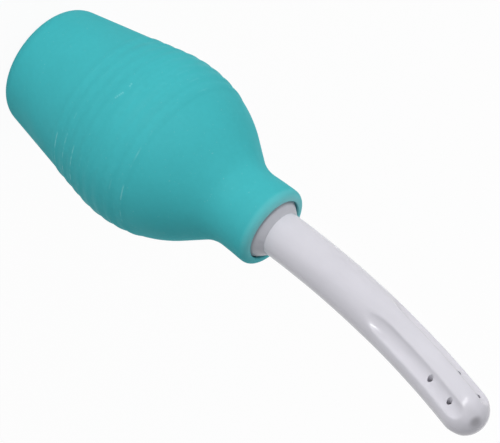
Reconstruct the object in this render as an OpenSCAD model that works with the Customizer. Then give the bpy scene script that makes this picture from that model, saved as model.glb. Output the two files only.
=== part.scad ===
// Squeeze bulb with a curved nozzle, in millimetres.
// A hollow rubber bulb stands on its flat base with its axis along +Z. A hard collar is
// snapped into the neck, and the fluted nozzle screws down into it onto a flat washer.
// The threads themselves are left out: the spigot and its bore have a running fit.

/* [Bulb] */
// Length of the bulb, from the flat base to the top of the lip
bulb_l = 121.7; // [116:0.1:128]
// Largest radius of the wall, without the rings
bulb_r = 34.7; // [32:0.1:37]
// Height of the widest place above the base
belly_z = 60.3; // [56:0.1:64]
// Radius of the arc over the belly, seen from the side
belly_arc = 51.7; // [46:0.1:56]
// Lean of the flank below the belly, from the axis
flank_lean = 11; // [8:0.5:14]
// Lean of the shoulder above the belly, from the axis
shoulder_lean = 35; // [30:0.5:38]
// Radius of the corner round the flat base
base_corner = 8; // [6:0.1:10]
// Thickness of the wall
bulb_wall = 2.8; // [2.2:0.1:3.2]

/* [Rings] */
// Number of raised rings round the belly
ring_count = 8; // [4:1:9]
// Height of the lowest ring above the base
ring_first_z = 37.5; // [34:0.1:40]
// Distance from one ring to the next
ring_pitch = 5.2; // [4.8:0.05:5.6]
// How far a ring stands out of the wall
ring_h = 0.4; // [0.2:0.05:0.8]
// Width of a ring where it leaves the wall
ring_w = 4.4; // [3:0.1:4.7]

/* [Neck] */
// Thickness of the wall round the collar, at the narrowest part of the neck
neck_wall = 3; // [2.8:0.1:4]
// Radius of the hollow sweep from the shoulder into the neck
neck_sweep = 17; // [12:0.5:20]
// Thickness of the wall at the lip
lip_wall = 3.3; // [3:0.1:4]
// Height of the straight band under the lip's round
lip_band = 2.2; // [1:0.1:3.5]

/* [Collar] */
// Radius of the collar, and of the neck's bore round it
collar_r = 13; // [12.4:0.1:13.4]
// Length of the collar inside the neck
collar_l = 16; // [15.2:0.1:18]
// Depth of the collar's rim below the top of the lip
collar_sink = 0.8; // [0.4:0.1:2]
// Height of the domed shoulder above the collar's rim
dome_h = 4.3; // [3:0.1:5.5]
// Width of the flat ring at the top of the dome
dome_flat = 0.7; // [0.4:0.1:1.2]
// Radius of the dome's round, seen from the side
dome_arc = 9; // [7:0.5:20]
// How far a snap bead bites into the neck
bead_h = 0.8; // [0.4:0.1:1.2]
// Radius of a snap bead's round
bead_round = 1.3; // [1.3:0.1:1.8]
// Distance from the collar's lower end to the first bead, and from bead to bead
bead_pitch = 4.6; // [4:0.1:5]

/* [Nozzle] */
// Outer radius of the tube
tube_r = 9; // [8.4:0.1:9.6]
// Radius of the water passage
passage_r = 5; // [4:0.1:5.4]
// Length of the curved tube beyond the collar, along its middle line
tube_l = 112; // [95:1:130]
// Angle through which the tube bends
bend_angle = 16.2; // [10:0.1:35]
// Outer radius of the screwed spigot
spigot_r = 7.4; // [7:0.1:7.6]
// Length of the screwed spigot
spigot_l = 9; // [7:0.1:9.8]
// Depth of the nozzle's shoulder below the top of the collar
socket_l = 10; // [8:0.1:11]
// Chamfer at the spigot's free end
spigot_chamfer = 0.5; // [0.2:0.1:0.8]

/* [Flutes and jets] */
// Number of flutes round the tube
flute_count = 4; // [3:1:4]
// Turn of the first flute from the inside of the bend
flute_angle = -45; // [-60:1:60]
// Depth of a flute
flute_d = 1.8; // [1:0.1:2.4]
// Radius of the round cutter that leaves a flute
flute_round = 4.8; // [4:0.1:6]
// Distance from the tip to the lower end of the full-depth stretch
flute_start = 48; // [44:0.5:65]
// Distance from the tip to the upper end of the full-depth stretch
flute_end = 6; // [4:0.1:9]
// Length over which a flute runs out to the surface at its lower end
flute_lead = 12; // [8:0.5:16]
// Radius of a jet hole
jet_r = 1; // [0.6:0.1:1.2]
// Distance from the tip to the first jet
jet_first = 11.8; // [10:0.1:14]
// Distance from one jet to the next along a flute
jet_pitch = 12; // [9:0.1:15]
// Jets in each flute
jet_count = 2; // [1:1:3]
// How much nearer to the tip the jets of every second flute lie
jet_stagger = 3; // [0:0.1:4]

/* [Fits] */
// Radial clearance between the nozzle and the collar
turn_clearance = 0.08; // [0.02:0.01:0.1]
// Clearance round the washer, inside and outside
washer_clearance = 0.25; // [0.15:0.05:0.4]
// Thickness of the washer
washer_t = 1.5; // [1:0.1:2]

/* [Hidden] */
$fn = 96;

// Points along an arc, from angle a0 to a1 in n steps
function arc(c, r, a0, a1, n) =
    [for (i = [0:n]) let (a = a0 + (a1 - a0) * i / n) c + r * [cos(a), sin(a)]];

// The bulb's side, as tangent arcs and lines: base corner, flank, belly, shoulder, neck
belly_c = [bulb_r - belly_arc, belly_z];
flank_top = belly_c + belly_arc * [cos(flank_lean), -sin(flank_lean)];
shoulder_foot = belly_c + belly_arc * [cos(shoulder_lean), sin(shoulder_lean)];
corner_c = [flank_top[0] - tan(flank_lean) * (flank_top[1] - base_corner)
            - base_corner / cos(flank_lean), base_corner];
neck_r = collar_r + neck_wall;
lip_r = collar_r + lip_wall;
sweep_r = neck_r + neck_sweep;
shoulder_top_r = sweep_r - neck_sweep * cos(shoulder_lean);
sweep_z = shoulder_foot[1] + (shoulder_foot[0] - shoulder_top_r) / tan(shoulder_lean)
          + neck_sweep * sin(shoulder_lean);
lip_round = lip_wall / 2;
lip_c = [lip_r - lip_round, bulb_l - lip_round];
lip_foot_z = bulb_l - lip_round - lip_band;

// Heights of the collar, washer and nozzle above the base
collar_top_z = bulb_l - collar_sink;
collar_end_z = collar_top_z - collar_l;
dome_top_z = collar_top_z + dome_h;
shoulder_z = dome_top_z - socket_l;
seat_z = shoulder_z - washer_t;
socket_r = tube_r + turn_clearance;
screw_r = spigot_r + turn_clearance;

// The bend, as radius and places along the tube's middle line
bend_r = tube_l / (bend_angle * PI / 180);
// How far a ball end stands out past its rod, so that their faces cross
ball_over = 0.02;
function along(from_tip) = bend_angle * (tube_l - from_tip) / tube_l;
tip_a = along(tube_r);

// Radius of the wall's outside at height z, over the flank, belly and shoulder
function wall_r(z) =
    z < flank_top[1] ? flank_top[0] - tan(flank_lean) * (flank_top[1] - z) :
    z < shoulder_foot[1] ? belly_c[0] + sqrt(belly_arc ^ 2 - (z - belly_z) ^ 2) :
    shoulder_foot[0] - tan(shoulder_lean) * (z - shoulder_foot[1]);
// Lean of the wall at height z, negative below the belly
function wall_lean(z) =
    z < flank_top[1] ? -flank_lean :
    z < shoulder_foot[1] ? asin((z - belly_z) / belly_arc) : shoulder_lean;
ring_round = (ring_w ^ 2 / 4 + ring_h ^ 2) / (2 * ring_h);
lead_r = (flute_lead ^ 2 + flute_d ^ 2) / (2 * flute_d);

// The bulb's side moved inwards by t, from the base to the neck
function side(t) = concat(
    arc(corner_c, base_corner - t, -90, -flank_lean, 8),
    arc(belly_c, belly_arc - t, -flank_lean, shoulder_lean, 16),
    arc([sweep_r, sweep_z], neck_sweep + t, 180 + shoulder_lean, 180, 8));

module bulb_outside() {
    polygon(concat(
        [[0, 0]], side(0),
        [[lip_r, lip_foot_z]], arc(lip_c, lip_round, 0, 90, 8),
        [[0, bulb_l]]));
    for (i = [0:ring_count - 1])
        let (z = ring_first_z + i * ring_pitch, a = wall_lean(z))
            translate([wall_r(z), z] + (ring_h - ring_round) * [cos(a), sin(a)])
                circle(ring_round);
}

module bulb_inside() {
    polygon(concat([[0, bulb_wall]], side(bulb_wall), [[0, sweep_z]]));
    polygon(concat(
        [[0, collar_end_z], [collar_r, collar_end_z], [collar_r, lip_c[1]]],
        arc(lip_c, lip_round, 180, 90, 8),
        [[lip_c[0], bulb_l + 1], [0, bulb_l + 1]]));
}

module beads() {
    for (i = [1:2])
        translate([collar_r - bead_round + bead_h, collar_end_z + i * bead_pitch])
            circle(bead_round);
}

module bulb() {
    color([0.24, 0.72, 0.73])
        rotate_extrude() difference() {
            bulb_outside();
            bulb_inside();
            beads();
        }
}

module neck_collar() {
    dome_in_r = socket_r + dome_flat;
    dome_w = collar_r - dome_in_r;
    chord = norm([dome_w, dome_h]);
    lean = atan2(dome_h, dome_w);
    half = asin(chord / 2 / dome_arc);
    dome_c = [dome_in_r, dome_top_z] + dome_arc * [-sin(lean - half), -cos(lean - half)];
    color([0.78, 0.78, 0.81])
        rotate_extrude() difference() {
            union() {
                polygon(concat(
                    [[0, collar_end_z], [collar_r, collar_end_z]],
                    arc(dome_c, dome_arc, 90 - lean - half, 90 - lean + half, 8),
                    [[0, dome_top_z]]));
                beads();
            }
            translate([-1, collar_end_z - 1]) square([1 + screw_r, collar_l + dome_h + 2]);
            translate([-1, seat_z]) square([1 + socket_r, socket_l + washer_t + 1]);
        }
}

module sealing_washer() {
    color([0.2, 0.2, 0.21])
        translate([0, 0, seat_z]) difference() {
            cylinder(r = socket_r - washer_clearance, h = washer_t);
            translate([0, 0, -1]) cylinder(r = spigot_r + washer_clearance, h = washer_t + 2);
        }
}

// Places its children at the angle a along the bend, with +Z along the tube there
module on_bend(a) {
    translate([bend_r, 0, dome_top_z]) rotate([0, a, 0]) translate([-bend_r, 0, 0]) children();
}

// A rod of radius r from angle a0 to a1 along the bend, moved off the tube's middle line
// by off in the direction turn, which is 0 on the inside of the bend
module bent_rod(r, a0, a1, off = 0, turn = 0) {
    translate([bend_r, 0, dome_top_z]) rotate([90, 0, 180])
        rotate_extrude(start = a0, angle = a1 - a0, $fn = 360)
            translate([bend_r - off * cos(turn), off * sin(turn)]) circle(r);
}

module flute(turn) {
    off = tube_r - flute_d + flute_round;
    a0 = along(flute_start);
    a1 = along(flute_end);
    bent_rod(flute_round, a0, a1, off, turn);
    for (a = [a0, a1])
        on_bend(a) rotate([0, 0, turn]) translate([off, 0, 0]) sphere(flute_round + ball_over);
    on_bend(a0) rotate([0, 0, turn]) translate([off + lead_r, 0, 0])
        rotate([-90, 0, 180])
            rotate_extrude(angle = 1.4 * asin(flute_lead / lead_r), $fn = 360)
                translate([lead_r, 0]) circle(flute_round);
}

module jets(turn, shift) {
    for (i = [0:jet_count - 1])
        on_bend(along(jet_first - shift + i * jet_pitch)) rotate([0, 0, turn])
            rotate([0, 90, 0]) cylinder(r = jet_r, h = tube_r);
}

module nozzle() {
    color([0.86, 0.85, 0.88]) difference() {
        union() {
            translate([0, 0, shoulder_z]) cylinder(r = tube_r, h = socket_l);
            translate([0, 0, shoulder_z - spigot_l]) {
                cylinder(r1 = spigot_r - spigot_chamfer, r2 = spigot_r, h = spigot_chamfer);
                translate([0, 0, spigot_chamfer]) cylinder(r = spigot_r, h = spigot_l);
            }
            bent_rod(tube_r, 0, tip_a);
            on_bend(tip_a) sphere(tube_r + ball_over);
        }
        translate([0, 0, shoulder_z - spigot_l - 1])
            cylinder(r = passage_r, h = spigot_l + socket_l + 1);
        bent_rod(passage_r, 0, tip_a);
        on_bend(tip_a) sphere(passage_r + ball_over);
        for (i = [0:flute_count - 1])
            let (turn = flute_angle + i * 360 / flute_count) {
                flute(turn);
                jets(turn, (i % 2) * jet_stagger);
            }
    }
}

bulb();
neck_collar();
sealing_washer();
nozzle();
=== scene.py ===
# A squeeze bulb with a curved white nozzle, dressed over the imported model. Lengths in the
# dictionaries are millimetres and angles are degrees; the meshes are in metres.
import math

import bpy
import numpy as np
from mathutils import Matrix, Vector


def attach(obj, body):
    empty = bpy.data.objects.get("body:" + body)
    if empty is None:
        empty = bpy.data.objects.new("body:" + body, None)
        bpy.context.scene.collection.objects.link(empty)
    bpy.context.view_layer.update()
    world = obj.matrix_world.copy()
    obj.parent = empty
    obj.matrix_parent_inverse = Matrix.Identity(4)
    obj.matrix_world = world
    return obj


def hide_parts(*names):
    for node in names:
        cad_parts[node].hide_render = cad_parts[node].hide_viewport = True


mm = 0.001
tiny = 1e-6  # points nearer than this are one point
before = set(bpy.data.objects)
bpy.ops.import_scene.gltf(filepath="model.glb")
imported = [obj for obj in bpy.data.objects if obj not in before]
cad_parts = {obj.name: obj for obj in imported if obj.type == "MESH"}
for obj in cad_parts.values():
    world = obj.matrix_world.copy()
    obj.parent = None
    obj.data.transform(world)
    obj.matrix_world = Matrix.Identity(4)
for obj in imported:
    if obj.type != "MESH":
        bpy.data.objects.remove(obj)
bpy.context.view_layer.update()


def dropSelection():
    bpy.ops.object.select_all(action="DESELECT")


def pickOnly(piece):
    dropSelection()
    piece.select_set(True)
    bpy.context.view_layer.objects.active = piece


# the place of a new primitive goes into its mesh
def settle(name):
    piece = bpy.context.active_object
    bpy.ops.object.transform_apply(location=True, rotation=True, scale=True)
    piece.name = name
    piece.data.name = name
    return piece


# doubles are merged, all faces turned outwards, and edit mode left
def closeMesh():
    bpy.ops.mesh.select_all(action="SELECT")
    bpy.ops.mesh.remove_doubles(threshold=tiny)
    bpy.ops.mesh.normals_make_consistent(inside=False)
    bpy.ops.object.mode_set(mode="OBJECT")


# nothing in the mesh stays selected, so that the next pick is only what is named
def clearPicks():
    bpy.ops.object.mode_set(mode="EDIT")
    bpy.ops.mesh.select_all(action="DESELECT")
    bpy.ops.object.mode_set(mode="OBJECT")


def applyModifiers(piece):
    pickOnly(piece)
    for modifier in list(piece.modifiers):
        bpy.ops.object.modifier_apply(modifier=modifier.name)


def cutAway(piece, tool):
    cut = piece.modifiers.new("cut", "BOOLEAN")
    cut.operation = "DIFFERENCE"
    cut.solver = "EXACT"
    cut.object = tool
    applyModifiers(piece)
    bpy.data.objects.remove(tool)


def smoothBy(piece, degrees):
    pickOnly(piece)
    bpy.ops.object.shade_smooth_by_angle(angle=math.radians(degrees))


# a point is drawn out along a profile of (radius, height) and spun round the Z axis
def turnProfile(name, profile, steps):
    dropSelection()
    bpy.ops.mesh.primitive_plane_add(size=mm, location=(0, 0, 0))
    piece = settle(name)
    bpy.ops.object.mode_set(mode="EDIT")
    bpy.ops.mesh.select_all(action="SELECT")
    bpy.ops.mesh.merge(type="CENTER")
    bpy.ops.transform.translate(value=(profile[0][0] * mm, 0, profile[0][1] * mm))
    for here, there in zip(profile, profile[1:]):
        step = ((there[0] - here[0]) * mm, 0, (there[1] - here[1]) * mm)
        bpy.ops.mesh.extrude_vertices_move(TRANSFORM_OT_translate={"value": step})
    bpy.ops.mesh.select_all(action="SELECT")
    bpy.ops.mesh.spin(steps=steps, angle=2 * math.pi, center=(0, 0, 0), axis=(0, 0, 1))
    closeMesh()
    return piece


# an arc of a profile, in count steps
def arcPoints(centre, radius, fromAngle, toAngle, count):
    points = []
    for i in range(count + 1):
        a = math.radians(fromAngle + (toAngle - fromAngle) * i / count)
        points.append((centre[0] + radius * math.cos(a), centre[1] + radius * math.sin(a)))
    return points


# the picked ring round the Z axis is drawn through steps of (radius, height)
def drawRing(radius, height, steps):
    for newRadius, newHeight in steps:
        bpy.ops.mesh.extrude_region_move(
            TRANSFORM_OT_translate={"value": (0, 0, (newHeight - height) * mm)})
        shrink = newRadius / radius
        bpy.ops.transform.resize(value=(shrink, shrink, 1),
                                 center_override=(0, 0, newHeight * mm))
        radius, height = newRadius, newHeight


def newMaterial(name):
    material = bpy.data.materials.new(name)
    material.use_nodes = True
    nodes = material.node_tree.nodes
    return material, nodes, material.node_tree.links, nodes["Principled BSDF"]


def addNode(nodes, kind, **settings):
    node = nodes.new(kind)
    for key, value in settings.items():
        if key in node.inputs:
            node.inputs[key].default_value = value
        else:
            setattr(node, key, value)
    return node


# a maths node whose inputs are numbers or other nodes' outputs
def reckon(nodes, links, operation, *values):
    node = addNode(nodes, "ShaderNodeMath", operation=operation)
    for socket, value in zip(node.inputs, values):
        if isinstance(value, (int, float)):
            socket.default_value = value
        else:
            links.new(value, socket)
    return node.outputs[0]


# a value stretched from one span to another and held at its ends
def spanned(nodes, links, value, low, high, toLow=0.0, toHigh=1.0):
    node = addNode(nodes, "ShaderNodeMapRange", interpolation_type="SMOOTHSTEP")
    links.new(value, node.inputs["Value"])
    for name, number in (("From Min", low), ("From Max", high), ("To Min", toLow),
                         ("To Max", toHigh)):
        node.inputs[name].default_value = number
    return node.outputs["Result"]


# cloudy noise on the piece's own coordinates, which may be stretched along an axis
def cloud(nodes, links, scale, detail=2.0, stretch=(1, 1, 1), roughness=0.5):
    place = addNode(nodes, "ShaderNodeTexCoord")
    mapping = addNode(nodes, "ShaderNodeMapping", Scale=stretch)
    noise = addNode(nodes, "ShaderNodeTexNoise", Scale=scale, Detail=detail,
                    Roughness=roughness)
    links.new(place.outputs["Object"], mapping.inputs["Vector"])
    links.new(mapping.outputs[0], noise.inputs["Vector"])
    return noise.outputs["Fac"]


# noise with its span stretched: a look holds the noise's settings and the span's ends
def patches(nodes, links, look):
    return spanned(nodes, links, cloud(nodes, links, *look["noise"]), *look["span"])


def coordinates(nodes, links):
    place = addNode(nodes, "ShaderNodeTexCoord")
    parts = addNode(nodes, "ShaderNodeSeparateXYZ")
    links.new(place.outputs["Object"], parts.inputs[0])
    return parts.outputs


# distance from the bulb's axis
def fromAxis(nodes, links, x, y):
    return reckon(nodes, links, "SQRT",
                  reckon(nodes, links, "ADD", reckon(nodes, links, "MULTIPLY", x, x),
                         reckon(nodes, links, "MULTIPLY", y, y)))


# 1 near a point of the piece, falling to 0 at the outer radius
def spotAt(nodes, links, point, inner, outer):
    place = addNode(nodes, "ShaderNodeTexCoord")
    gap = addNode(nodes, "ShaderNodeVectorMath", operation="DISTANCE")
    links.new(place.outputs["Object"], gap.inputs[0])
    gap.inputs[1].default_value = [v * mm for v in point]
    return spanned(nodes, links, gap.outputs["Value"], inner * mm, outer * mm, 1, 0)


def tinted(nodes, links, colour, value):
    shade = addNode(nodes, "ShaderNodeHueSaturation", Color=colour)
    links.new(value, shade.inputs["Value"])
    return shade.outputs[0]


# a colour laid over another; sockets 6 and 7 of a Mix node are its two colours
def blended(nodes, links, amount, under, over):
    mix = addNode(nodes, "ShaderNodeMix", data_type="RGBA")
    links.new(amount, mix.inputs[0])
    for socket, colour in ((mix.inputs[6], under), (mix.inputs[7], over)):
        if isinstance(colour, tuple):
            socket.default_value = colour
        else:
            links.new(colour, socket)
    return mix.outputs[2]


# each relief is noise settings or a node's output with its depth in mm, over the one before
def raisedBy(nodes, links, principled, reliefs):
    normal = None
    for height, depth in reliefs:
        if isinstance(height, tuple):
            height = cloud(nodes, links, *height)
        bump = addNode(nodes, "ShaderNodeBump", Strength=1.0, Distance=depth * mm)
        links.new(height, bump.inputs["Height"])
        if normal is not None:
            links.new(normal, bump.inputs["Normal"])
        normal = bump.outputs[0]
    links.new(normal, principled.inputs["Normal"])


bulb = {
    "length": 122, "radius": 34.7, "bellyHeight": 60.3, "bellyArc": 51.7,
    "flankLean": 11, "shoulderLean": 35, "baseCorner": 8, "wall": 2.8,
    "neckRadius": 16, "neckSweep": 17, "lipRadius": 16.3, "lipBand": 1.4,
    "lipOuterRound": 2.8, "lipInnerRound": 0.4, "mouthRadius": 12.7, "mouthDepth": 0.9,
    "boreRadius": 13, "ringCount": 8, "ringFirst": 37.5, "ringPitch": 5.2,
    "ringRise": 0.33, "ringHalfWidth": 2.6,
    "lipLean": 2.4, "leanFoot": 112, "leanRise": 7, "leanSteps": 4, "leanSlack": 0.0001,
    "steps": 160, "flankStep": 0.45, "shoulderStep": 0.8, "neckStep": 1.5, "smooth": 50,
    "cornerSteps": 14, "bellySteps": 110, "sweepSteps": 18, "lipSteps": 14, "mouthSteps": 6,
    "innerStride": 4, "innerCornerStride": 2,
}


# the side's three arcs, each moved inwards: base corner, belly and neck sweep
def bulbSide(inward):
    b = bulb
    bellyCentre = (b["radius"] - b["bellyArc"], b["bellyHeight"])
    flank, shoulder = math.radians(b["flankLean"]), math.radians(b["shoulderLean"])
    flankTop = (bellyCentre[0] + b["bellyArc"] * math.cos(flank),
                bellyCentre[1] - b["bellyArc"] * math.sin(flank))
    shoulderFoot = (bellyCentre[0] + b["bellyArc"] * math.cos(shoulder),
                    bellyCentre[1] + b["bellyArc"] * math.sin(shoulder))
    corner = b["baseCorner"]
    cornerX = (flankTop[0] - math.tan(flank) * (flankTop[1] - corner)
               - corner / math.cos(flank))
    sweepX = b["neckRadius"] + b["neckSweep"]
    sweepFoot = sweepX - b["neckSweep"] * math.cos(shoulder)
    sweepZ = (shoulderFoot[1] + (shoulderFoot[0] - sweepFoot) / math.tan(shoulder)
              + b["neckSweep"] * math.sin(shoulder))
    return (arcPoints((cornerX, corner), corner - inward, -90, -b["flankLean"],
                      b["cornerSteps"]),
            arcPoints(bellyCentre, b["bellyArc"] - inward, -b["flankLean"],
                      b["shoulderLean"], b["bellySteps"]),
            arcPoints((sweepX, sweepZ), b["neckSweep"] + inward,
                      180 + b["shoulderLean"], 180, b["sweepSteps"]))


# straight stretches get points of their own, so that the rings can rise anywhere
def filled(points, spacing):
    out = [points[0]]
    for here, there in zip(points, points[1:]):
        count = max(1, round(math.dist(here, there) / spacing))
        for i in range(1, count + 1):
            t = i / count
            out.append((here[0] + (there[0] - here[0]) * t,
                        here[1] + (there[1] - here[1]) * t))
    return out


def ringRise(height):
    rise = 0.0
    for i in range(bulb["ringCount"]):
        t = (height - bulb["ringFirst"] - i * bulb["ringPitch"]) / bulb["ringHalfWidth"]
        if abs(t) < 1:
            rise += bulb["ringRise"] * (1 - t * t) ** 2
    return rise


# the soft lip isn't quite square to the bulb, so the neck is bent a little in small turns
def leanLip(piece):
    b = bulb
    pickOnly(piece)
    clearPicks()
    for i in range(b["leanSteps"]):
        height = b["leanFoot"] + i * b["leanRise"] / b["leanSteps"]
        for vertex in piece.data.vertices:
            vertex.select = vertex.co.z > (height - b["leanSlack"]) * mm
        bpy.ops.object.mode_set(mode="EDIT")
        bpy.ops.transform.rotate(value=math.radians(b["lipLean"] / b["leanSteps"]),
                                 orient_axis="X", center_override=(0, 0, height * mm))
        bpy.ops.object.mode_set(mode="OBJECT")


def makeBulb():
    b = bulb
    corner, belly, sweep = bulbSide(0)
    outerRound, innerRound = b["lipOuterRound"], b["lipInnerRound"]
    lipCentre = (b["lipRadius"] - outerRound, b["length"] - outerRound)
    mouthCentre = (b["mouthRadius"] + innerRound, b["length"] - innerRound)
    outside = [(0, 0), (corner[0][0] / 2, 0)] + corner
    outside += filled([corner[-1], belly[0]], b["flankStep"])[1:] + belly[1:]
    outside += filled([belly[-1], sweep[0]], b["shoulderStep"])[1:] + sweep[1:]
    outside += filled([sweep[-1], (b["lipRadius"], lipCentre[1] - b["lipBand"])],
                      b["neckStep"])[1:]
    outside += arcPoints(lipCentre, outerRound, 0, 90, b["lipSteps"])
    outside += arcPoints(mouthCentre, innerRound, 90, 180, b["mouthSteps"])
    raised = []
    for before, point, after in zip(outside, outside[1:], outside[2:]):
        along = Vector((after[0] - before[0], after[1] - before[1])).normalized()
        rise = ringRise(point[1])
        raised.append((point[0] + along[1] * rise, point[1] - along[0] * rise))
    cornerIn, bellyIn, sweepIn = bulbSide(b["wall"])
    inside = [(b["boreRadius"], b["length"] - innerRound - b["mouthDepth"]),
              (b["boreRadius"], sweepIn[-1][1])] + sweepIn[::-1]
    inside += bellyIn[::-b["innerStride"]] + cornerIn[::-b["innerCornerStride"]]
    inside.append((0, b["wall"]))
    piece = turnProfile("rubberBulb", [outside[0]] + raised + [outside[-1]] + inside,
                        b["steps"])
    leanLip(piece)
    smoothBy(piece, b["smooth"])
    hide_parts("bulb")
    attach(piece, "bulb")
    print("bulb turned", len(piece.data.polygons))
    return piece


rubber = {
    # paleTeal colours the worn crests and also the painted sheen on the lip's rim
    "colour": (0.056, 0.462, 0.497, 1), "paleTeal": (0.3, 0.72, 0.74, 1),
    "dust": (0.32, 0.6, 0.62, 1), "specular": 0.08,
    "clouds": {"noise": (34, 3), "span": (0.3, 0.7, 0.975, 1.02)},
    "flecks": {"noise": (520, 2), "span": (0.3, 0.7, 0.985, 1.012)},
    "broken": {"noise": (150, 4, (1, 1, 0.3)), "span": (0.47, 0.6)},
    "patchy": {"noise": (26, 1), "span": (0.4, 0.56)},
    "dusty": {"noise": (1300, 1), "span": (0.72, 0.8, 0, 0.25)},
    "satin": {"noise": (75, 3), "span": (0.3, 0.7, 0.56, 0.7)},
    "reliefs": [((50, 2), 0.08), ((1900, 2), 0.008)],
    "crestShift": 0.6, "lineCore": 0.02, "wornLine": 0.36, "wornShare": 0.42,
    "wornPolish": 0.12, "wornSide": -20, "heldFrom": 24, "heldTo": 32, "unheld": 0.22,
    "rimFoot": 3.2, "rimTop": 1, "rimSheen": 0.75, "rimFade": 0.25, "rimNear": -6, "rimFar": 10,
    "scuffShare": 0.8, "scuffCore": 0.2, "scuffRadius": 0.55,
    "scuffs": [(15.2, -30.9, 54.3), (14.5, -31.3, 54.5), (13.7, -31.6, 54.8),
               (13, -31.9, 55), (12.4, -32.2, 55.2), (8.9, -33.4, 55.4), (8, -33.6, 55.2)],
}


# crests rubbed pale: broken lines on the rings, mostly where a hand holds the bulb, and scuffs
def wornCrests(nodes, links, x, y, z):
    r, b = rubber, bulb
    firstFoot = b["ringFirst"] + r["crestShift"] - b["ringPitch"] / 2
    turnsUp = reckon(nodes, links, "DIVIDE",
                     reckon(nodes, links, "SUBTRACT", z, firstFoot * mm),
                     b["ringPitch"] * mm)
    fromCrest = reckon(nodes, links, "ABSOLUTE",
                       reckon(nodes, links, "SUBTRACT",
                              reckon(nodes, links, "FRACT", turnsUp), 0.5))
    paleTeal = spanned(nodes, links, fromCrest, r["lineCore"], r["wornLine"] / b["ringPitch"], 1, 0)
    ringed = reckon(nodes, links, "MULTIPLY",
                    reckon(nodes, links, "GREATER_THAN", turnsUp, 0),
                    reckon(nodes, links, "LESS_THAN", turnsUp, b["ringCount"]))
    side = math.radians(r["wornSide"])
    across = reckon(nodes, links, "ADD", reckon(nodes, links, "MULTIPLY", x, math.cos(side)),
                    reckon(nodes, links, "MULTIPLY", y, math.sin(side)))
    held = spanned(nodes, links, across, r["heldFrom"] * mm, r["heldTo"] * mm, r["unheld"], 1)
    broken, patchy = patches(nodes, links, r["broken"]), patches(nodes, links, r["patchy"])
    for mask in (ringed, broken, patchy, held):
        paleTeal = reckon(nodes, links, "MULTIPLY", paleTeal, mask)
    for point in r["scuffs"]:
        spot = spotAt(nodes, links, point, r["scuffRadius"] * r["scuffCore"], r["scuffRadius"])
        paleTeal = reckon(nodes, links, "MAXIMUM", paleTeal,
                      reckon(nodes, links, "MULTIPLY", spot, r["scuffShare"]))
    return paleTeal


# painted sheen: the lip's rim is made paler towards its mouth, most on the near side
def paintedRimSheen(nodes, links, x, y, z):
    r, b = rubber, bulb
    rim = reckon(nodes, links, "MULTIPLY",
                 spanned(nodes, links, z, (b["length"] - r["rimFoot"]) * mm,
                         (b["length"] - r["rimTop"]) * mm),
                 spanned(nodes, links, fromAxis(nodes, links, x, y), b["mouthRadius"] * mm,
                         b["lipRadius"] * mm, r["rimSheen"], r["rimSheen"] * r["rimFade"]))
    return reckon(nodes, links, "MULTIPLY", rim,
                  spanned(nodes, links, y, r["rimNear"] * mm, r["rimFar"] * mm, 1,
                          r["rimFade"]))


# teal rubber: clouded colour, a fine grain, pale wear, a painted sheen on the lip's rim and a
# little dust
def mixRubber():
    r = rubber
    material, nodes, links, principled = newMaterial("tealRubber")
    x, y, z = coordinates(nodes, links)
    mottle = reckon(nodes, links, "MULTIPLY", patches(nodes, links, r["clouds"]),
                    patches(nodes, links, r["flecks"]))
    shade = tinted(nodes, links, r["colour"], mottle)
    paleTeal = wornCrests(nodes, links, x, y, z)
    shade = blended(nodes, links, reckon(nodes, links, "MULTIPLY", paleTeal, r["wornShare"]),
                    shade, r["paleTeal"])
    # painted sheen on the lip's rim, in the same pale teal as the worn crests
    shade = blended(nodes, links, paintedRimSheen(nodes, links, x, y, z), shade, r["paleTeal"])
    shade = blended(nodes, links, patches(nodes, links, r["dusty"]), shade, r["dust"])
    links.new(shade, principled.inputs["Base Color"])
    polish = reckon(nodes, links, "MULTIPLY", paleTeal, r["wornPolish"])
    satin = reckon(nodes, links, "SUBTRACT", patches(nodes, links, r["satin"]), polish)
    links.new(satin, principled.inputs["Roughness"])
    principled.inputs["Specular IOR Level"].default_value = r["specular"]
    raisedBy(nodes, links, principled, r["reliefs"])
    return material


collar = {
    "radius": 13, "top": 119.9, "bottom": 104.9, "domeTop": 125.0, "domeArc": 60,
    "domeFlat": 0.02, "socket": 9.02, "seat": 113.7, "bore": 7.48, "edge": 0.35,
    "mouthEdge": 0.01, "beads": 2, "beadRise": 0.8, "beadRound": 1.3, "beadPitch": 4.6,
    "beadSteps": 10, "domeSteps": 16, "steps": 144, "smooth": 35,
}


def makeCollar():
    c = collar
    flat = (c["socket"] + c["domeFlat"], c["domeTop"])
    chord = math.dist(flat, (c["radius"], c["top"]))
    lean = math.degrees(math.atan2(c["domeTop"] - c["top"], c["radius"] - flat[0]))
    half = math.degrees(math.asin(chord / 2 / c["domeArc"]))
    middle = math.radians(90 - lean + half)
    centre = (flat[0] - c["domeArc"] * math.cos(middle),
              flat[1] - c["domeArc"] * math.sin(middle))
    profile = [(c["radius"] - c["edge"], c["bottom"]), (c["radius"], c["bottom"] + c["edge"])]
    reach = math.degrees(math.acos(1 - c["beadRise"] / c["beadRound"]))
    for bead in range(1, c["beads"] + 1):
        beadCentre = (c["radius"] + c["beadRise"] - c["beadRound"],
                      c["bottom"] + bead * c["beadPitch"])
        profile += arcPoints(beadCentre, c["beadRound"], -reach, reach, c["beadSteps"])
    profile += arcPoints(centre, c["domeArc"], 90 - lean - half, 90 - lean + half,
                         c["domeSteps"])
    profile += [(c["socket"] + c["mouthEdge"], c["domeTop"]),
                (c["socket"], c["domeTop"] - c["mouthEdge"]), (c["socket"], c["seat"]),
                (c["bore"], c["seat"]), (c["bore"], c["bottom"]),
                (c["radius"] - c["edge"], c["bottom"])]
    piece = turnProfile("neckCollar", profile, c["steps"])
    smoothBy(piece, c["smooth"])
    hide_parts("neck_collar")
    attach(piece, "bulb")
    print("collar turned", len(piece.data.polygons))
    return piece


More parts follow.
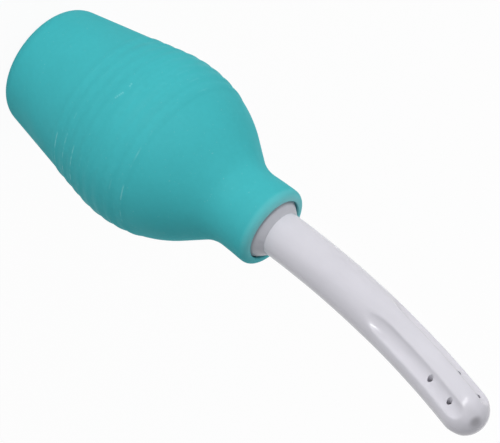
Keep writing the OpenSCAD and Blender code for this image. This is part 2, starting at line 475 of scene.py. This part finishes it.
shadedCollarPlastic = {
    # the base grey is partly painted shade: the collar is darkened for the lip's shadow
    "colour": (0.475, 0.475, 0.515, 1), "grime": (0.36, 0.37, 0.41, 1),
    "paintedLight": (0.68, 0.66, 0.71, 1), "paintedLightFrom": 11.9,
    "clouds": {"noise": (110, 3), "span": (0.3, 0.7, 0.96, 1.03)},
    "grimy": {"noise": (320, 3), "span": (0.5, 0.7, 0, 0.25)},
    "rough": {"noise": (200, 2), "span": (0.3, 0.7, 0.3, 0.42)},
    "reliefs": [((90, 2, (1, 1, 6)), 0.03)],
}


# the collar's greyer plastic, its grey partly painted shade of the lip: clouded, a little grimy,
# and paler where the lip covers it, as painted light
def mixShadedCollarPlastic():
    c = shadedCollarPlastic
    material, nodes, links, principled = newMaterial("shadedCollarPlastic")
    shade = tinted(nodes, links, c["colour"], patches(nodes, links, c["clouds"]))
    shade = blended(nodes, links, patches(nodes, links, c["grimy"]), shade, c["grime"])
    x, y, _ = coordinates(nodes, links)
    # painted light: the collar turns paler near the lip to lift the shade in the crease under
    # its edge
    paintedLightAmount = spanned(nodes, links, fromAxis(nodes, links, x, y), c["paintedLightFrom"] * mm,
                      bulb["mouthRadius"] * mm)
    shade = blended(nodes, links, paintedLightAmount, shade, c["paintedLight"])
    links.new(shade, principled.inputs["Base Color"])
    links.new(patches(nodes, links, c["rough"]), principled.inputs["Roughness"])
    raisedBy(nodes, links, principled, c["reliefs"])
    return material


washer = {
    "outer": 8.83, "inner": 7.65, "bottom": 113.7, "thickness": 1.5, "edge": 0.2,
    "steps": 96, "smooth": 50,
}


def makeWasher():
    w = washer
    low, high, e = w["bottom"], w["bottom"] + w["thickness"], w["edge"]
    profile = [(w["inner"] + e, low), (w["outer"] - e, low), (w["outer"], low + e),
               (w["outer"], high - e), (w["outer"] - e, high), (w["inner"] + e, high),
               (w["inner"], high - e), (w["inner"], low + e), (w["inner"] + e, low)]
    piece = turnProfile("washerRing", profile, w["steps"])
    smoothBy(piece, w["smooth"])
    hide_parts("sealing_washer")
    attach(piece, "washer")
    print("washer turned", len(piece.data.polygons))
    return piece


washerRubber = {
    "colour": (0.025, 0.025, 0.028, 1), "bloom": (0.07, 0.07, 0.075, 1),
    "bloomed": {"noise": (260, 3), "span": (0.35, 0.7, 0, 0.5)},
    "rough": {"noise": (400, 2), "span": (0.3, 0.7, 0.55, 0.75)},
    "reliefs": [((1500, 2), 0.02)],
}


# the washer's dark rubber, matt and slightly bloomed
def mixWasherRubber():
    w = washerRubber
    material, nodes, links, principled = newMaterial("washerRubber")
    shade = blended(nodes, links, patches(nodes, links, w["bloomed"]), w["colour"], w["bloom"])
    links.new(shade, principled.inputs["Base Color"])
    links.new(patches(nodes, links, w["rough"]), principled.inputs["Roughness"])
    raisedBy(nodes, links, principled, w["reliefs"])
    return material


nozzle = {
    "radius": 9, "foot": 115.2, "bendFoot": 125.2, "length": 112, "bend": 16.2,
    "segments": 180, "footSteps": 4, "plainSteps": 30, "flutedFrom": 66, "flutedSteps": 128,
    "tipRings": 26, "smooth": 38,
    "footInset": 0.2, "spigotRadius": 7.4, "spigotLength": 9, "spigotEdge": 0.5,
    "passage": 5, "passageBelow": 3, "passageSegments": 72, "passageSteps": 60,
    "passageRings": 12,
}
flutes = {
    "count": 4, "turn": -45, "depth": 1.8, "cutterRadius": 4.8, "start": 48, "end": 6,
    "lead": 12, "softness": 0.55, "outside": -2.0, "beyond": 20, "faintest": 0.004,
    "dimpleRadius": 2.6, "dimpleDepth": 0.35, "gateLean": 20, "gateTurn": -69,
}
jets = {
    "radius": 1, "first": 11.8, "pitch": 12, "count": 2, "stagger": 3, "deep": 4,
    "pullShare": 0.85, "segments": 32,
    "mouth": [(0, -0.5), (0.06, -0.2), (0.2, 0.15), (0.3, 4)],  # wider by, height over the floor
}
bendRadius = nozzle["length"] / math.radians(nozzle["bend"])


# the tube's middle line: centre, direction along and the side towards the bend's inside
def onBend(fromTip):
    a = (nozzle["length"] - fromTip) / bendRadius
    centre = Vector((bendRadius * (1 - math.cos(a)), 0,
                     nozzle["bendFoot"] + bendRadius * math.sin(a)))
    return (centre * mm, Vector((math.sin(a), 0, math.cos(a))),
            Vector((math.cos(a), 0, -math.sin(a))))


# the end ring is carried on round the bend
def spinOn(fromTip, toTip, steps):
    bpy.ops.mesh.spin(steps=steps, angle=(fromTip - toTip) / bendRadius,
                      center=(bendRadius * mm, 0, nozzle["bendFoot"] * mm), axis=(0, -1, 0))


# the end ring is closed by a half ball
def roundTip(radius, rings, fromTip):
    centre, along, _ = onBend(fromTip)
    for i in range(1, rings):
        before, now = (math.pi / 2) * (i - 1) / rings, (math.pi / 2) * i / rings
        rise = radius * mm * (math.sin(now) - math.sin(before))
        bpy.ops.mesh.extrude_region_move(
            TRANSFORM_OT_translate={"value": along * rise})
        shrink = math.cos(now) / math.cos(before)
        bpy.ops.transform.resize(value=(shrink,) * 3,
                                 center_override=centre + along * radius * mm * math.sin(now))
    rise = radius * mm * (1 - math.sin((math.pi / 2) * (rings - 1) / rings))
    bpy.ops.mesh.extrude_region_move(TRANSFORM_OT_translate={"value": along * rise})
    bpy.ops.mesh.merge(type="CENTER")


# a closed tube from a foot ring, straight to the bend, round it and over a ball end
def bentTube(name, radius, foot, segments, stretches, rings):
    dropSelection()
    bpy.ops.mesh.primitive_circle_add(vertices=segments, radius=radius * mm,
                                      location=(0, 0, foot * mm))
    piece = settle(name)
    bpy.ops.object.mode_set(mode="EDIT")
    bpy.ops.mesh.select_all(action="SELECT")
    rise = (nozzle["bendFoot"] - foot) * mm / nozzle["footSteps"]
    for _ in range(nozzle["footSteps"]):
        bpy.ops.mesh.extrude_region_move(TRANSFORM_OT_translate={"value": (0, 0, rise)})
    here = nozzle["length"]
    for there, steps in stretches:
        spinOn(here, there, steps)
        here = there
    roundTip(radius, rings, here)
    return piece


# a depth whose start is rounded off, as a mould's edge is
def softened(depth):
    return (depth + np.sqrt(depth ** 2 + flutes["softness"] ** 2)) / 2


# how deep the flutes' ball-ended cutter and the tip's dimple bite at each point
def fluteBite(points, normals):
    f, b = flutes, bendRadius
    local = points / mm - np.array([b, 0, nozzle["bendFoot"]])
    fromTip = nozzle["length"] - np.arctan2(local[:, 2], -local[:, 0]) * b
    bite = np.zeros(len(points))
    ballOut = nozzle["radius"] - f["depth"] + f["cutterRadius"]
    leadRadius = (f["lead"] ** 2 + f["depth"] ** 2) / (2 * f["depth"])
    over = np.maximum(fromTip - f["start"], 0)
    reach = ballOut + leadRadius - np.sqrt(np.maximum(leadRadius ** 2 - over ** 2, 0))
    reach = np.where(over >= leadRadius, ballOut + f["beyond"], reach)
    angle = (nozzle["length"] - np.maximum(fromTip, f["end"])) / b
    side = np.stack([np.cos(angle), 0 * angle, -np.sin(angle)], 1)
    middle = np.stack([-b * np.cos(angle), 0 * angle, b * np.sin(angle)], 1)
    for i in range(f["count"]):
        turn = math.radians(f["turn"] + i * 360 / f["count"])
        out = math.cos(turn) * side + math.sin(turn) * np.array([0, 1, 0])
        gap = local - (middle + out * reach[:, None])
        facing = np.einsum("ij,ij->i", gap, normals)
        inside = facing ** 2 - np.einsum("ij,ij->i", gap, gap) + f["cutterRadius"] ** 2
        bites = (inside > 0) & (facing < 0)
        depth = np.where(bites, facing + np.sqrt(np.maximum(inside, 0)), f["outside"])
        bite += np.maximum(softened(depth) - softened(f["outside"]), 0)
    away = np.linalg.norm(points / mm - np.array(gateMark()), axis=1) / f["dimpleRadius"]
    bite += f["dimpleDepth"] * np.where(away < 1, (1 - away ** 2) ** 2, 0)
    return bite


# where the moulding gate was trimmed off: beside the very tip, in mm
def gateMark():
    f = flutes
    ballCentre, along, side = onBend(nozzle["radius"])
    lean, turn = math.radians(f["gateLean"]), math.radians(f["gateTurn"])
    out = (along * math.cos(lean)
           + (side * math.cos(turn) + Vector((0, 1, 0)) * math.sin(turn)) * math.sin(lean))
    return ballCentre / mm + out * nozzle["radius"]


# the flutes and the dimple are pressed in by a weighted Displace
def pressFlutes(piece):
    mesh = piece.data
    points = np.empty(len(mesh.vertices) * 3)
    normals = np.empty(len(mesh.vertices) * 3)
    mesh.vertices.foreach_get("co", points)
    mesh.vertices.foreach_get("normal", normals)
    bite = fluteBite(points.reshape(-1, 3), normals.reshape(-1, 3))
    group = piece.vertex_groups.new(name="flutes")
    deepest = float(bite.max())
    for i in np.nonzero(bite > flutes["faintest"])[0]:
        group.add([int(i)], float(bite[i]) / deepest, "REPLACE")
    press = piece.modifiers.new("press", "DISPLACE")
    press.strength = -deepest * mm
    press.mid_level = 0
    press.vertex_group = "flutes"
    applyModifiers(piece)
    piece.vertex_groups.clear()


# the spigot hangs from the foot ring, which is inset and drawn down
def addSpigot(piece):
    n = nozzle
    clearPicks()
    for edge in piece.data.edges:
        heights = [piece.data.vertices[v].co.z for v in edge.vertices]
        edge.select = all(abs(height - n["foot"] * mm) < tiny for height in heights)
    bpy.ops.object.mode_set(mode="EDIT")
    bpy.ops.mesh.select_mode(type="EDGE")
    steps = [(n["radius"] - n["footInset"], n["foot"]), (n["spigotRadius"], n["foot"]),
             (n["spigotRadius"], n["foot"] - n["spigotLength"] + n["spigotEdge"]),
             (n["spigotRadius"] - n["spigotEdge"], n["foot"] - n["spigotLength"])]
    drawRing(n["radius"], n["foot"], steps)
    bpy.ops.mesh.edge_face_add()
    bpy.ops.mesh.select_mode(type="VERT")
    closeMesh()


# the jets' pins are pulled straight out of the mould, so they run across the bend's plane
def jetTool(fromTip, turn):
    j = jets
    centre, along, side = onBend(fromTip)
    turned = math.radians(turn)
    radial = side * math.cos(turned) + Vector((0, 1, 0)) * math.sin(turned)
    fluteFloor = nozzle["radius"] - flutes["depth"]
    pull = Vector((0, math.copysign(1, radial.y), 0))
    out = (radial * (1 - j["pullShare"]) + pull * j["pullShare"]).normalized()
    mouth = centre + radial * fluteFloor * mm
    dropSelection()
    bpy.ops.mesh.primitive_circle_add(vertices=j["segments"], radius=j["radius"] * mm,
                                      location=(0, 0, -j["deep"] * mm), fill_type="NGON")
    tool = settle("jetTool")
    bpy.ops.object.mode_set(mode="EDIT")
    bpy.ops.mesh.select_all(action="SELECT")
    drawRing(j["radius"], -j["deep"],
             [(j["radius"] + wider, height) for wider, height in j["mouth"]])
    closeMesh()
    forward = (along - out * along.dot(out)).normalized()
    across = forward.cross(out)
    tool.data.transform(Matrix.Translation(mouth)
                        @ Matrix((across, forward, out)).transposed().to_4x4())
    return tool


# the water passage's tool, closed at its foot, which stands a little below the spigot
def passageTool():
    n = nozzle
    foot = n["foot"] - n["spigotLength"] - n["passageBelow"]
    passage = bentTube("passage", n["passage"], foot, n["passageSegments"],
                       [(n["radius"], n["passageSteps"])], n["passageRings"])
    bpy.ops.object.mode_set(mode="OBJECT")
    for vertex in passage.data.vertices:
        vertex.select = vertex.co.z < foot * mm + tiny
    for edge in passage.data.edges:
        heights = [passage.data.vertices[v].co.z for v in edge.vertices]
        edge.select = max(heights) < foot * mm + tiny
    bpy.ops.object.mode_set(mode="EDIT")
    bpy.ops.mesh.edge_face_add()
    closeMesh()
    return passage


def makeNozzle():
    n = nozzle
    stretches = [(n["flutedFrom"], n["plainSteps"]), (n["radius"], n["flutedSteps"])]
    piece = bentTube("nozzleTube", n["radius"], n["foot"], n["segments"], stretches,
                     n["tipRings"])
    closeMesh()
    pressFlutes(piece)
    addSpigot(piece)
    print("nozzle tube bent", len(piece.data.polygons))
    cutAway(piece, passageTool())
    print("passage cut", len(piece.data.polygons))
    for i in range(flutes["count"]):
        turn = flutes["turn"] + i * 360 / flutes["count"]
        for k in range(jets["count"]):
            fromTip = jets["first"] - (i % 2) * jets["stagger"] + k * jets["pitch"]
            cutAway(piece, jetTool(fromTip, turn))
    smoothBy(piece, n["smooth"])
    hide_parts("nozzle")
    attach(piece, "nozzle")
    print("nozzle ready", len(piece.data.polygons))
    return piece


plastic = {
    "colour": (0.655, 0.64, 0.69, 1), "speck": (0.2, 0.19, 0.2, 1),
    "dimpleShade": (0.3, 0.29, 0.315, 1), "joint": (0.42, 0.41, 0.44, 1),
    "clouds": {"noise": (42, 2), "span": (0.3, 0.7, 0.98, 1.015)},
    "streaks": {"noise": (260, 2, (1, 1, 0.06)), "span": (0.3, 0.7, 0.985, 1.012)},
    "rough": {"noise": (120, 3), "span": (0.3, 0.7, 0.17, 0.27)},
    "speckCells": 400, "speckSpan": (0.05, 0.1, 1, 0), "speckFrom": 0.97, "speckShare": 0.8,
    "partingHalf": 0.07, "partingCore": 0.3, "partingShare": 0.25, "partingRise": 0.03,
    "dimpleShadeRadius": 3.4, "dimpleShadeCore": 0.2, "dimpleShadeShare": 0.72, "relief": ((70, 2), 0.05),
}


# a few dark specks, each in a cell of its own
def specks(nodes, links):
    p = plastic
    place = addNode(nodes, "ShaderNodeTexCoord")
    cells = addNode(nodes, "ShaderNodeTexVoronoi", Scale=p["speckCells"])
    links.new(place.outputs["Object"], cells.inputs["Vector"])
    pick = addNode(nodes, "ShaderNodeSeparateColor")
    links.new(cells.outputs["Color"], pick.inputs[0])
    return reckon(nodes, links, "MULTIPLY",
                  spanned(nodes, links, cells.outputs["Distance"], *p["speckSpan"]),
                  reckon(nodes, links, "GREATER_THAN", pick.outputs[0], p["speckFrom"]))


# white plastic: faint flow streaks, specks, the parting line and painted shade at the gate's
# dimple
def mixPlastic():
    p = plastic
    material, nodes, links, principled = newMaterial("whitePlastic")
    _, y, _ = coordinates(nodes, links)
    flow = reckon(nodes, links, "MULTIPLY", patches(nodes, links, p["clouds"]),
                  patches(nodes, links, p["streaks"]))
    shade = tinted(nodes, links, p["colour"], flow)
    parting = spanned(nodes, links, reckon(nodes, links, "ABSOLUTE", y),
                      p["partingHalf"] * p["partingCore"] * mm, p["partingHalf"] * mm, 1, 0)
    # painted shade: a grey spot darkens the dimple beside the tip
    dimpleShadeSpot = spotAt(nodes, links, gateMark(), p["dimpleShadeRadius"] * p["dimpleShadeCore"],
                  p["dimpleShadeRadius"])
    for mask, share, colour in ((specks(nodes, links), p["speckShare"], p["speck"]),
                                (parting, p["partingShare"], p["joint"]),
                                (dimpleShadeSpot, p["dimpleShadeShare"], p["dimpleShade"])):
        shade = blended(nodes, links, reckon(nodes, links, "MULTIPLY", mask, share), shade,
                        colour)
    links.new(shade, principled.inputs["Base Color"])
    links.new(patches(nodes, links, p["rough"]), principled.inputs["Roughness"])
    raisedBy(nodes, links, principled, [p["relief"], (parting, p["partingRise"])])
    return material


view = {
    "lens": 235.0, "distance": 1200,
    "right": (-0.69102, -0.03059, 0.72220), "toward": (0.48996, -0.75447, 0.43680),
    "target": (0, 0, 121.7), "targetPixel": (274.2, 229.2), "picture": (500, 443),
    "sensor": 36,
}


# the camera looks so that the target falls on its pixel of the photograph
def placeCamera():
    toward = Vector(view["toward"]).normalized()
    right = Vector(view["right"])
    right = (right - toward * right.dot(toward)).normalized()
    up = toward.cross(right)
    place = (Vector(view["target"]) + toward * view["distance"]) * mm
    pixels = view["lens"] / view["sensor"] * view["picture"][0]
    acrossPixels = view["targetPixel"][0] - view["picture"][0] / 2
    downPixels = view["targetPixel"][1] - view["picture"][1] / 2
    back = (toward * pixels + right * acrossPixels - up * downPixels).normalized()
    right = up.cross(back).normalized()
    up = back.cross(right)
    camera = bpy.data.cameras.new("camera")
    camera.lens = view["lens"]
    camera.sensor_width = view["sensor"]
    holder = bpy.data.objects.new("camera", camera)
    bpy.context.scene.collection.objects.link(holder)
    turn = Matrix((right, up, back)).transposed().to_4x4()
    holder.matrix_world = Matrix.Translation(place) @ turn
    bpy.context.scene.camera = holder
    print("camera placed")


# a lamp that doesn't light only shows as a glint in gloss
lamps = {
    "keyLamp": {"toward": (0.22, -1.0, 0.06), "distance": 1.3, "size": (1.1, 0.32),
                "watts": 9.9, "lights": True, "mirrored": True},
    "ridgeGlint": {"toward": (-0.24, -0.95, -0.15), "distance": 0.6, "size": (0.04, 0.04),
                   "watts": 0.3, "lights": False, "mirrored": True, "aim": (14.4, -8.8, 227)},
    "fluteGlint": {"toward": (0.42, -0.88, -0.235), "distance": 0.45, "size": (0.035, 0.03),
                   "watts": 0.22, "lights": False, "mirrored": True,
                   "aim": (10.9, -4.5, 180.6)},
    "sideLamp": {"toward": (-0.85, -0.2, 0.3), "distance": 1.4, "size": (0.8, 0.6),
                 "watts": 2.8, "lights": True, "mirrored": False},
    "backLamp": {"toward": (-0.55, 0.78, 0.28), "distance": 1.5, "size": (0.9, 0.7),
                 "watts": 9, "lights": True, "mirrored": False},
}
lampAim = (10, 0, 110)
air = {"colour": (0.96, 0.975, 1, 1), "strength": 0.405, "backdrop": (1, 1, 1, 1)}


def addLamp(name):
    wanted = lamps[name]
    lamp = bpy.data.lights.new(name, "AREA")
    lamp.shape = "RECTANGLE"
    lamp.size, lamp.size_y = wanted["size"]
    lamp.energy = wanted["watts"]
    holder = bpy.data.objects.new(name, lamp)
    holder.visible_camera = False
    holder.visible_diffuse = wanted["lights"]
    holder.visible_glossy = wanted["mirrored"]
    bpy.context.scene.collection.objects.link(holder)
    direction = Vector(wanted["toward"]).normalized()
    aim = Vector(wanted.get("aim", lampAim)) * mm
    holder.location = aim + direction * wanted["distance"]
    holder.rotation_euler = direction.to_track_quat("Z", "Y").to_euler()


def lightStudio():
    for name in lamps:
        addLamp(name)
    world = bpy.data.worlds.new("studioAir")
    bpy.context.scene.world = world
    world.use_nodes = True
    nodes, links = world.node_tree.nodes, world.node_tree.links
    nodes.clear()
    soft = addNode(nodes, "ShaderNodeBackground", Color=air["colour"],
                   Strength=air["strength"])
    backdrop = addNode(nodes, "ShaderNodeBackground", Color=air["backdrop"], Strength=1)
    mix = addNode(nodes, "ShaderNodeMixShader")
    links.new(seenOrMirrored(nodes, links), mix.inputs[0])
    links.new(soft.outputs[0], mix.inputs[1])
    links.new(backdrop.outputs[0], mix.inputs[2])
    links.new(mix.outputs[0], addNode(nodes, "ShaderNodeOutputWorld").inputs[0])
    print("lamps and air ready")


# 1 where the camera sees a surface itself, in a mirror or through glass
def seenOrMirrored(nodes, links):
    path = addNode(nodes, "ShaderNodeLightPath").outputs
    mirrored = reckon(nodes, links, "MAXIMUM", path["Is Camera Ray"], path["Is Glossy Ray"])
    return reckon(nodes, links, "MAXIMUM", mirrored, path["Is Transmission Ray"])


floorLook = {
    "size": 8, "colour": (0.86, 0.86, 0.86, 1), "rough": 0.9, "glow": (1, 1, 1, 1),
    "glowShare": 0.95,
}


# a pale floor that the camera sees almost white, and that still holds the shadow
def layFloor():
    f = floorLook
    dropSelection()
    bpy.ops.mesh.primitive_plane_add(size=f["size"], location=(0, 0, 0))
    floor = bpy.context.active_object
    floor.name = "floor"
    material, nodes, links, principled = newMaterial("paleFloor")
    principled.inputs["Base Color"].default_value = f["colour"]
    principled.inputs["Roughness"].default_value = f["rough"]
    glow = addNode(nodes, "ShaderNodeEmission", Color=f["glow"], Strength=1)
    share = reckon(nodes, links, "MULTIPLY", seenOrMirrored(nodes, links), f["glowShare"])
    mix = addNode(nodes, "ShaderNodeMixShader")
    links.new(share, mix.inputs[0])
    links.new(principled.outputs[0], mix.inputs[1])
    links.new(glow.outputs[0], mix.inputs[2])
    links.new(mix.outputs[0], nodes["Material Output"].inputs[0])
    floor.data.materials.append(material)
    print("floor laid")


placeCamera()
lightStudio()
layFloor()
makeBulb().data.materials.append(mixRubber())
makeCollar().data.materials.append(mixShadedCollarPlastic())
makeWasher().data.materials.append(mixWasherRubber())
makeNozzle().data.materials.append(mixPlastic())
bpy.context.scene.view_settings.view_transform = "Standard"
